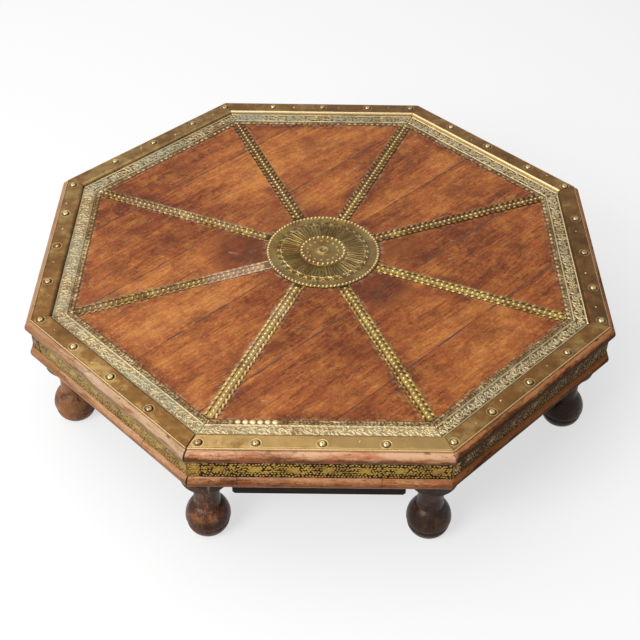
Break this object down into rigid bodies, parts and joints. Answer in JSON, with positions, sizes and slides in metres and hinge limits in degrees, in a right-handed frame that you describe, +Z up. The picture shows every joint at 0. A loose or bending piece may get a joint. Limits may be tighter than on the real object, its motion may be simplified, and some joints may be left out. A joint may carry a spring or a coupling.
{
  "type": "low table",
  "caption": "Octagonal low table of diagonal hardwood boards in a moulded frame, bound with embossed brass straps, border, side band and domed nails, on turned feet.",
  "frame": {"origin": "on the floor under the table's centre", "axes": "+Z up; the front side faces -Y and is parallel to X"},
  "size_m": [0.7658, 0.7658, 0.1867],
  "materials": {
    "rail_wood": "waxed, worn pale on the edges",
    "board_wood": "satin oil with scratches",
    "foot_wood": "dark wax, worn",
    "under_wood": "unfinished, dark with age",
    "rim_brass": "brown-gold patina",
    "border_brass": "embossed, verdigris in the hollows",
    "strap_brass": "beaded, dark in the hollows",
    "medallion_brass": "olive patina",
    "band_brass": "chased, dark patina",
    "nail_brass": "polished by wear"
  },
  "bodies": {
    "root": {"band_back": "band_brass", "band_back_left": "band_brass", "band_back_right": "band_brass", "band_front": "band_brass", "band_front_left": "band_brass", "band_front_right": "band_brass", "band_left": "band_brass", "band_right": "band_brass", "batten_back": "under_wood", "batten_front": "under_wood", "board_1": "board_wood", "board_2": "board_wood", "board_3": "board_wood", "board_4": "board_wood", "board_5": "board_wood", "board_6": "board_wood", "border_back": "border_brass", "border_back_left": "border_brass", "border_back_right": "border_brass", "border_front": "border_brass", "border_front_left": "border_brass", "border_front_right": "border_brass", "border_left": "border_brass", "border_right": "border_brass", "dome_nails": "nail_brass", "foot_back_left": "foot_wood", "foot_back_right": "foot_wood", "foot_front_left": "foot_wood", "foot_front_right": "foot_wood", "foot_left_back": "foot_wood", "foot_left_front": "foot_wood", "foot_right_back": "foot_wood", "foot_right_front": "foot_wood", "medallion": "medallion_brass", "mitre_keys": "under_wood", "rail_back": "rail_wood", "rail_back_left": "rail_wood", "rail_back_right": "rail_wood", "rail_front": "rail_wood", "rail_front_left": "rail_wood", "rail_front_right": "rail_wood", "rail_left": "rail_wood", "rail_right": "rail_wood", "rim_plate_back": "rim_brass", "rim_plate_back_left": "rim_brass", "rim_plate_back_right": "rim_brass", "rim_plate_front": "rim_brass", "rim_plate_front_left": "rim_brass", "rim_plate_front_right": "rim_brass", "rim_plate_left": "rim_brass", "rim_plate_right": "rim_brass", "strap_back_left": "strap_brass", "strap_back_right": "strap_brass", "strap_front_left": "strap_brass", "strap_front_right": "strap_brass", "strap_left_back": "strap_brass", "strap_left_front": "strap_brass", "strap_right_back": "strap_brass", "strap_right_front": "strap_brass", "under_cleats": "under_wood"}
  },
  "joints": []
}
